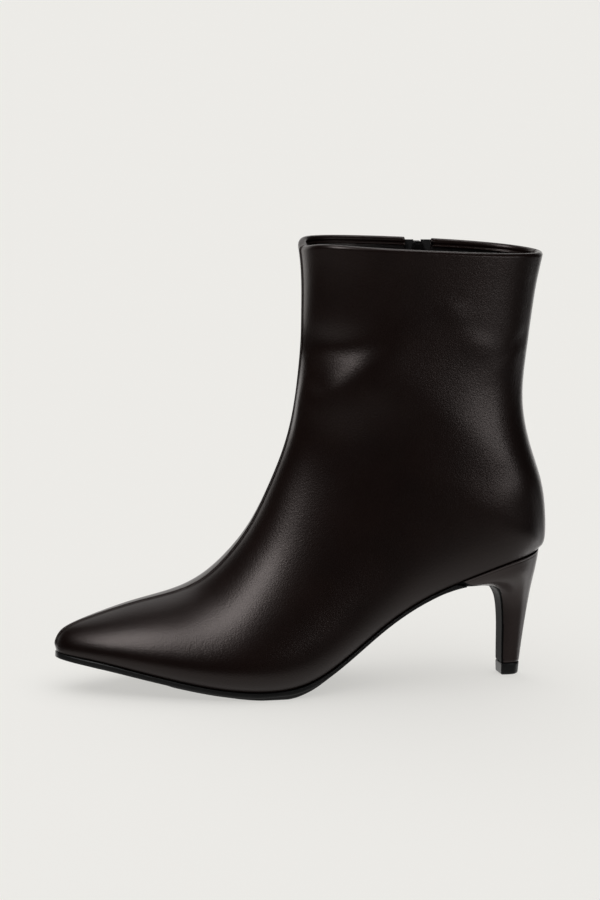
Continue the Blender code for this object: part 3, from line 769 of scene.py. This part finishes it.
# Heel: scaled copies of the seat's outline down to the tip, each ring closed across the breast and rounded
# there, and the rings evened out along the heel. A groove runs under the seat where the cover's edge lies.
heel = {
    # breast x and z, back x and z, half width of the breast, swell of the sides
    "rows": np.array((
        (201.6, 51.2, 247.9, 63.2, 24.6, 0.4), (207.8, 50.7, 247.1, 57.6, 21.6, 1.2),
        (215.2, 49.8, 246.4, 52.2, 15.8, 2.6), (222.4, 47.2, 245.6, 46.8, 10.2, 3.8),
        (226.4, 42.8, 244.8, 41.6, 6.8, 3.8), (228.0, 37.2, 244.0, 36.0, 5.5, 3.0),
        (228.9, 28.4, 243.0, 28.2, 5.1, 2.2), (229.2, 20.4, 242.1, 20.5, 5.0, 1.4),
        (229.4, 13.0, 241.3, 13.0, 5.0, 0.7), (229.7, 6.3, 240.7, 6.3, 5.0, 0.3),
    )),
    "start": 196.5, "margin": 1.1, "gap": -0.3, "seatRows": 40, "crownRows": 3, "soften": 7, "fair": 40,
    "sideColumns": 141, "breastColumns": 41, "rings": 120, "topRings": 30,
    "groove": 0.14, "grooveAt": 1.3, "grooveWidth": 0.3, "edge": 0.1, "edgeReach": 0.4,
    "tip": 0.35, "tipReach": 0.5, "rim": (0.8, 2.9), "rimZ": (42.0, 50.0),
    # top lift: share drawn in and height
    "lift": (
        (0.05, 6.0), (0.0, 5.8), (0.0, 5.1), (0.04, 0.9), (0.06, 0.35), (0.12, 0.08), (0.16, 0.0),
    ),
}


def evenLine(line, count):
    length = np.concatenate(((0,), np.cumsum(np.linalg.norm(np.diff(line, axis=0), axis=1))))
    where = np.linspace(0, length[-1], count)
    return np.stack([np.interp(where, length, line[:, k]) for k in range(3)], -1)


def evenRing(ring, count):
    return evenLine(np.vstack((ring, ring[:1])), count + 1)[:-1]


def heelRings():
    corner = last["corner"]
    start = placeOf(heel["start"])
    count = heel["seatRows"]
    at = np.concatenate((np.linspace(start, corner - 1, count)[:-1], np.linspace(corner - 1, corner, count)))
    outer, inner = seatLine(at, heel["margin"])
    inner[-1] = outer[-1] = (outer[-1] + inner[-1]) / 2
    seat = np.concatenate((outer, inner[-2::-1]))
    seat[:, 2] -= heel["gap"]
    front, rear = seat[:, 0].min(), seat[:, 0].max()
    half = np.abs(seat[:, 1]).max()
    along = (seat[:, 0] - front) / (rear - front)
    across = seat[:, 1] / half
    frontZ, rearZ = seat[0, 2], seat[len(seat) // 2, 2]
    top = np.array((front, frontZ, rear, rearZ, half, 0))
    first = np.linspace(0, 1, heel["topRings"])[:-1]
    places = np.concatenate((first, np.linspace(1, len(heel["rows"]), heel["rings"] - len(first))))
    rows = curveThrough(np.vstack((top, heel["rows"])), places)
    crown = seat[:, 2] - (frontZ + (rearZ - frontZ) * along)
    rings = []
    for place, row in zip(places, rows):
        x = row[0] + (row[2] - row[0]) * along
        z = row[1] + (row[3] - row[1]) * along + crown * max(0.0, 1 - place / heel["crownRows"])
        y = across * (row[4] + row[5] * np.sin(math.pi * along))
        line = np.column_stack((x, y, z))
        breast = evenLine(line[[-1, 0]], heel["breastColumns"])[1:-1]
        rings.append(np.concatenate((evenLine(line, heel["sideColumns"]), breast)))
    sharp = np.array(rings)
    for _ in range(heel["fair"]):
        sharp[1:-1] = 0.25 * sharp[:-2] + 0.5 * sharp[1:-1] + 0.25 * sharp[2:]
    rings = sharp
    for _ in range(heel["soften"]):
        rings = 0.25 * np.roll(rings, 1, 1) + 0.5 * rings + 0.25 * np.roll(rings, -1, 1)
    low, high = rings.min(1, keepdims=True), rings.max(1, keepdims=True)
    lowest, highest = sharp.min(1, keepdims=True), sharp.max(1, keepdims=True)
    wide = (lowest + (rings - low) / (high - low) * (highest - lowest))[:, :, :2]
    return np.concatenate((wide, rings[:, :, 2:]), 2)


def makeHeel():
    rings = heelRings()
    drop = np.linalg.norm(rings - rings[:1], axis=2)
    inward = rings.mean(1, keepdims=True) - rings
    inward[:, :, 2] = 0
    dip = heel["groove"] * np.exp(-((drop - heel["grooveAt"]) / heel["grooveWidth"])**2)
    dip += heel["edge"] * np.clip(1 - drop / heel["edgeReach"], 0, 1)**2
    toTip = np.linalg.norm(rings - rings[-1:], axis=2)
    dip += heel["tip"] * np.clip(1 - toTip / heel["tipReach"], 0, 1)**2
    shaped = rings + unit(inward) * dip[:, :, None]
    faces = gridFaces(*shaped.shape[:2], around=True) + capFaces(shaped)
    # The sole's black rubber runs on under the lip and down the breast, with a narrow rim on both sides.
    middles = (rings + np.roll(rings, -1, 1)) / 2
    corners = [np.linalg.norm(middles - rings[:, [c]], axis=2) for c in (0, heel["sideColumns"] - 1)]
    black = np.minimum(*corners) < np.interp(rings[:, :1, 2], heel["rimZ"], heel["rim"])
    black[:, heel["sideColumns"] - 1:] = True
    other = looks["breast"], np.append(black[:-1].ravel(), (True, True))
    piece = addMesh("heel_cover", shaped, faces, looks["heel"], "heel_leather", other=other)
    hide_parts("heel")
    foot = rings[-1]
    middle = foot.mean(0)
    layers = []
    for inset, z in heel["lift"]:
        ring = foot + (middle - foot) * inset
        layers.append(np.column_stack((ring[:, :2], np.full(len(ring), z))))
    layers = np.array(layers)
    faces = gridFaces(*layers.shape[:2], around=True) + capFaces(layers)
    piece = addMesh("lift_tip", layers, faces, looks["lift"], "sole_rubber")
    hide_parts("top_lift")


makeHeel()
print("stage: heel")

# Superellipsoid with its poles on z: (cos v cos u, cos v sin u, sin v), each factor f as sgn(f) |f|^power.
def ball(s):
    u = np.linspace(0, 2 * math.pi, s["around"], endpoint=False)[None]
    v = np.linspace(-math.pi / 2, math.pi / 2, s["over"])[:, None]
    factors = np.cos(u), np.sin(u), np.cos(v), np.sin(v)
    cosU, sinU, cosV, sinV = (np.sign(f) * np.abs(f)**s["power"] for f in factors)
    points = np.stack((cosV * cosU, cosV * sinU, sinV * np.ones_like(u)), -1)
    return points, gridFaces(s["over"], s["around"], around=True)


# Zip: two rows of teeth that lock at half pitch, each a superellipsoid drawn out across the chain,
# on the tapes that the frame carries.
teeth = {
    "reach": 2.5, "past": 0.75, "height": 0.62, "depth": 0.62, "power": 0.55, "around": 12, "over": 7,
    "top": 0.75, "foot": 2.5, "sink": 0.02,
}


def makeTeeth():
    count = int((zipSizes["chainTop"] - zipSizes["bottom"] - teeth["foot"]) / zipSizes["pitch"])
    half = (teeth["reach"] + teeth["past"]) / 2
    middle = (teeth["reach"] - teeth["past"]) / 2
    points, faces = ball(teeth)
    tooth = np.roll(points, 1, -1) * (half, teeth["depth"], teeth["height"])
    shapes = []
    for number in range(2 * count):
        side = -1 if number % 2 else 1
        z = zipSizes["chainTop"] - teeth["top"] - number * zipSizes["pitch"] / 2
        y = float(innerSide(zipSizes["x"], np.array((z,)))[0])
        shapes.append((tooth + (zipSizes["x"] + side * middle, y - teeth["sink"], z), faces))
    piece = addMesh("zip_teeth", *joined(shapes), looks["teeth"], "zip_teeth")
    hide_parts("zip_chain")


makeTeeth()


# Plate with chamfered rims: an outline drawn out along an axis, its first and last rings moved inward.
def plate(outline, axis, low, high, rim, share=0.3):
    outline = np.asarray(outline, float)
    following = np.roll(outline, -1, 0)
    along = following - np.roll(outline, 1, 0)
    area = np.sum(outline[:, 0] * following[:, 1] - following[:, 0] * outline[:, 1])
    side = unit(np.stack((-along[:, 1], along[:, 0]), -1)) * (1 if area > 0 else -1)
    part = share * rim
    levels = (low, rim), (low + part, part), (low + rim, 0), (high - rim, 0), (high - part, part), (high, rim)
    rings = np.array([np.insert(outline + side * inset, axis, level, axis=1) for level, inset in levels])
    return rings, gridFaces(*rings.shape[:2], around=True) + capFaces(rings)


def arc(centre, radius, start, end, count):
    angles = np.radians(np.linspace(start, end, count + 1))
    return [(centre[0] + radius * math.cos(a), centre[1] + radius * math.sin(a)) for a in angles]


# Slider: two shields joined by a post, and a bridge on the outer one, each a plate.
slider = {
    "low": 209.6, "high": 218.6, "half": 3.8, "narrower": 0.5, "foot": 0.72, "corner": (0.8, 1.0),
    "shoulder": ((0.0, 3.2), (0.6, 0.9), (1.8, 0.0)),
    "outer": 0.95, "outerThick": 1.2, "inner": 1.75, "innerThick": 0.9, "rim": 0.3,
    "post": (1.3, 0.6, 0.4), "postInto": 0.2, "postRim": 0.1,
    "rise": 2.2, "bridge": 0.9, "bridgeFoot": 0.7, "bridgeRim": 0.25, "nearSteps": 12,
    # past the hinge, and above and below it
    "bridgeOutside": ((1.4, 2.2), (2.0, 1.6)), "bridgeInside": ((1.1, 1.0), (0.8, 1.3)),
}


def shield(half):
    x, low, high = zipSizes["x"], slider["low"], slider["high"]
    foot, (inward, up) = half * slider["foot"], slider["corner"]
    right = [(foot - inward, low), (foot, low + up)] + [(half - a, high - b) for a, b in slider["shoulder"]]
    return [(x - right[0][0], low), *((x + a, b) for a, b in right), *((x - a, b) for a, b in right[:0:-1])]


def makeSlider():
    x, low, high = zipSizes["x"], slider["low"], slider["high"]
    near = innerSide(x, np.linspace(low, high, slider["nearSteps"]))
    plane = float(near.max()) + slider["outer"]
    inside = float(near.min()) - slider["inner"]
    y, z = plane + slider["outerThick"] + slider["rise"] / 2, (low + high) / 2
    face = plane + slider["bridgeFoot"]
    over = [(y + a, b) for a, b in slider["bridgeOutside"]]
    over.insert(0, (face, over[0][1]))
    under = [(y + a, b) for a, b in slider["bridgeInside"]]
    under.append((face, under[-1][1]))
    half = [(a, z - b) for a, b in over[::-1] + under[::-1]]
    bridge = [(a, z + b) for a, b in over] + half + [(a, z + b) for a, b in under]
    wide, above, below = slider["post"]
    foot, head = zipSizes["chainTop"] + above, high - below
    post = [(x - wide, foot), (x + wide, foot), (x + wide, head), (x - wide, head)]
    into = slider["postInto"]
    outer, inner = shield(slider["half"]), shield(slider["half"] - slider["narrower"])
    shapes = joined((
        plate(outer, 1, plane, plane + slider["outerThick"], slider["rim"]),
        plate(inner, 1, inside - slider["innerThick"], inside, slider["rim"]),
        plate(post, 1, inside - into, plane + into, slider["postRim"]),
        plate(bridge, 0, x - slider["bridge"], x + slider["bridge"], slider["bridgeRim"])))
    piece = addMesh("zip_runner", *shapes, looks["metal"], "zip_metal", smooth=False)
    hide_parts("zip_slider")
    return np.array((x, y, z))


# Pull tab: a plate with a waist, a round end and an eye that hangs on the bridge.
pull = {
    "length": 22.0, "half": 3.0, "thick": 1.2, "rim": 0.28,
    "head": (2.6, 0.6), "neck": (2.6, -4.8), "waist": (1.9, -6.6),
    "eyeHalf": 1.5, "eyeTop": 0.6, "eyeFoot": 4.2, "arcSteps": 16, "columns": 72,
}


def makePull(hinge):
    x, y, z = hinge
    side = [pull[name] for name in ("head", "neck", "waist")]
    end = arc((x, z - pull["length"] + pull["half"]), pull["half"], 180, 360, pull["arcSteps"])
    outline = [(x - a, z + b) for a, b in side] + end + [(x + a, z + b) for a, b in side[::-1]]
    half, top, foot = pull["eyeHalf"], z - pull["eyeTop"], z - pull["eyeFoot"]
    eye = [(x - half, top), (x - half, foot), (x + half, foot), (x + half, top)]

    def even(line):
        return evenRing(np.insert(np.asarray(line, float), 1, 0.0, axis=1), pull["columns"])[:, (0, 2)]

    outer, inner = even(outline), even(eye)
    low, high, rim = y - pull["thick"] / 2, y + pull["thick"] / 2, pull["rim"]
    levels = (high, rim), (high - rim, 0), (low + rim, 0), (low, rim)
    rings = []
    middle = x, (top + foot) / 2
    for line, centre, order, sign in ((outer, outer.mean(0), levels, 1), (inner, middle, levels[::-1], -1)):
        away = unit(line - centre)
        rings += [np.insert(line - sign * inset * away, 1, level, axis=1) for level, inset in order]
    rings = np.array(rings + rings[:1])
    faces = gridFaces(*rings.shape[:2], around=True)
    piece = addMesh("zip_tab", rings, faces, looks["metal"], "zip_metal", body="pull", smooth=False)
    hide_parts("zip_pull")


makePull(makeSlider())
for name in ("zip_tape_front", "zip_tape_rear"):
    for held in frame["nodes"][name].material_slots:
        held.material = looks["tape"]
print("stage: zip")

# Stitches along the slot: short threads, each a half-sunk ellipsoid sheared to the wall's slope.
stitch = {
    "from": 2.4, "pitch": 3.0, "length": 1.15, "thick": 0.24, "low": 100.0, "high": 214.0,
    "power": 1.0, "around": 8, "over": 7, "slopeReach": 0.6, "raise": 0.02,
}


def makeStitches():
    heights = np.arange(stitch["low"], stitch["high"], stitch["pitch"])
    reach = stitch["slopeReach"]
    points, faces = ball(stitch)
    shapes = []
    for side in (-1, 1):
        x = zipSizes["x"] + side * (slotHalf(heights) + stitch["from"])
        for px, z in zip(x, heights):
            low, high = innerSide(px, np.array((z - reach, z + reach)))
            thread = points * (stitch["thick"], stitch["thick"], stitch["length"])
            thread[:, :, 1] += (high - low) / (2 * reach) * thread[:, :, 2]
            shapes.append((thread + (px, (low + high) / 2 + stitch["raise"], z), faces))
    addMesh("zip_stitches", *joined(shapes), looks["thread"], "zip_tape")


makeStitches()
print("stage: stitches")

# Floor: one pale sheet under the boot, partly lit by itself so that it stays even to the horizon.
stage = {
    "half": 40.0, "colour": (0.44, 0.434, 0.418), "warmer": 1.01, "toneScale": 6.0,
    "shine": {"Roughness": 1.0, "Specular_IOR_Level": 0.0},
    "glow": {"Emission_Strength": 1.0, "Emission_Color": (0.527, 0.521, 0.502, 1)},
}


def makeFloor():
    mesh = bpy.data.meshes.new("floor")
    h = stage["half"]
    mesh.from_pydata([(-h, -h, 0), (h, -h, 0), (h, h, 0), (-h, h, 0)], [], [(0, 1, 2, 3)])
    look = Look("floor", **stage["shine"], **stage["glow"])
    tone = look.noise(stage["toneScale"], 2.0)
    warm = tuple(stage["warmer"] * c for c in stage["colour"])
    mesh.materials.append(look.feed(Base_Color=look.shades(tone, ((0.0, stage["colour"]), (1.0, warm)))))
    floor = addObject("floor", mesh)
    floor.visible_diffuse = False
    floor.visible_glossy = False
    floor.visible_shadow = False


makeFloor()

# Room: camera rays see one pale tone. Other rays see a bright wall far behind, a dim floor below,
# a band beside the wall that lights the boot's rims, and dark elsewhere:
# strength = dark + wall ease(y from wallFrom to wallTo) + ground ease(-z from groundFrom to groundTo)
# + rim ease(y from rimFrom to rimTo) (1 - ease(y over rimEnd)) (1 - ease(z from rimLow to rimHigh)).
room = {
    "tone": (0.83, 0.82, 0.79), "light": (1.0, 0.985, 0.96), "dark": 0.008,
    "wall": 0.9, "wallFrom": 0.58, "wallTo": 0.98, "ground": 0.46, "groundFrom": 0.26, "groundTo": 0.66,
    "rim": 0.9, "rimFrom": 0.49, "rimTo": 0.8, "rimEnd": (0.86, 0.97), "rimLow": 0.15, "rimHigh": 0.4,
}


def makeRoom():
    world = bpy.data.worlds.new("room")
    bpy.context.scene.world = world
    world.use_nodes = True
    tree = world.node_tree
    tree.nodes.clear()
    place = tree.nodes.new("ShaderNodeTexCoord")
    split = tree.nodes.new("ShaderNodeSeparateXYZ")
    tree.links.new(place.outputs["Generated"], split.inputs[0])

    def ease(wire, low, high):
        t = ((wire - low) / (high - low)).math("MAXIMUM", 0.0).math("MINIMUM", 1.0)
        return t * t * (3.0 - 2.0 * t)

    y, z = (Wire(tree, split.outputs[i]) for i in (1, 2))
    wall = ease(y, room["wallFrom"], room["wallTo"])
    ground = ease(-1.0 * z, room["groundFrom"], room["groundTo"])
    rim = ease(y, room["rimFrom"], room["rimTo"]) * (1.0 - ease(y, *room["rimEnd"]))
    rim = rim * (1.0 - ease(z, room["rimLow"], room["rimHigh"]))
    strength = room["dark"] + room["wall"] * wall + room["ground"] * ground + room["rim"] * rim
    seen, unseen = tree.nodes.new("ShaderNodeBackground"), tree.nodes.new("ShaderNodeBackground")
    seen.inputs["Color"].default_value = (*room["tone"], 1)
    unseen.inputs["Color"].default_value = (*room["light"], 1)
    tree.links.new(strength.socket, unseen.inputs["Strength"])
    kinds = "LightPath", "MixShader", "OutputWorld"
    path, mix, out = (tree.nodes.new("ShaderNode" + kind) for kind in kinds)
    tree.links.new(path.outputs["Is Camera Ray"], mix.inputs["Fac"])
    tree.links.new(unseen.outputs[0], mix.inputs[1])
    tree.links.new(seen.outputs[0], mix.inputs[2])
    tree.links.new(mix.outputs[0], out.inputs["Surface"])


makeRoom()

# Soft boxes light the boot alone, the sky lights the floor alone.
lamps = {
    # name, direction from the boot, distance, width, height, power
    "boxes": (
        ("key", (-0.46, -0.445, 0.768), 1.25, 0.46, 0.94, 7.2),
        ("front", (-0.60, -0.66, 0.45), 1.25, 0.35, 0.35, 0.3),
        ("top", (0.08, 0.56, 0.82), 1.5, 1.2, 0.8, 2.2),
        ("above", (0.28, 0.05, 0.96), 1.3, 0.42, 0.42, 1.8),
        ("low_right", (0.68, -0.71, 0.15), 1.0, 0.46, 0.12, 0.78),
        ("right", (0.89, 0.25, -0.38), 1.3, 0.55, 0.62, 1.05),
    ),
    "aim": (-0.02, 0.0, 0.08), "sky": 2.0, "skyAngle": 96.0,
}


def facing(place, aim, turn=0.0):
    back = unit(np.array(place, float) - np.array(aim, float))
    right = unit(np.cross((0.0, 0.0, 1.0), back))
    up = np.cross(back, right)
    turn = math.radians(turn)
    side = right * math.cos(turn) + up * math.sin(turn)
    top = up * math.cos(turn) - right * math.sin(turn)
    return Matrix([[side[i], top[i], back[i], place[i]] for i in range(3)] + [[0, 0, 0, 1]])


def makeLamps():
    lit, ground = bpy.data.collections.new("boot_only"), bpy.data.collections.new("floor_only")
    for piece in bpy.context.scene.objects:
        if piece.type == "MESH":
            (ground if piece.name == "floor" else lit).objects.link(piece)
    for name, direction, distance, width, height, power in lamps["boxes"]:
        data = bpy.data.lights.new(name, "AREA")
        data.shape = "RECTANGLE"
        data.size = width
        data.size_y = height
        data.energy = power
        lamp = addObject(name, data)
        aim = np.array(lamps["aim"])
        lamp.matrix_world = facing(aim + np.array(direction) * distance, aim)
        lamp.light_linking.receiver_collection = lit
    sky = bpy.data.lights.new("sky", "SUN")
    sky.energy = lamps["sky"]
    sky.angle = math.radians(lamps["skyAngle"])
    addObject("sky", sky).light_linking.receiver_collection = ground


makeLamps()

# Camera: the photograph's view, 16 degrees towards the toe, rolled by 1.748 degrees.
view = {
    "target": (-0.004025, 0.0, 0.117886), "turn": 16.0, "distance": 1.4, "height": 0.37016, "roll": 1.748,
    "focal": 2876.84, "pixels": 900.0, "sensor": 36.0,
}


def makeCamera():
    turn = math.radians(view["turn"])
    target = np.array(view["target"])
    away = view["distance"]
    place = np.array((target[0] - away * math.sin(turn), -away * math.cos(turn), view["height"]))
    data = bpy.data.cameras.new("camera")
    data.sensor_fit = "VERTICAL"
    data.sensor_height = view["sensor"]
    data.lens = view["focal"] * view["sensor"] / view["pixels"]
    camera = addObject("camera", data)
    camera.matrix_world = facing(place, target, view["roll"])
    bpy.context.scene.camera = camera


makeCamera()
bpy.context.scene.view_settings.view_transform = "Standard"
print("stage: light and camera")

bpy.context.view_layer.update()
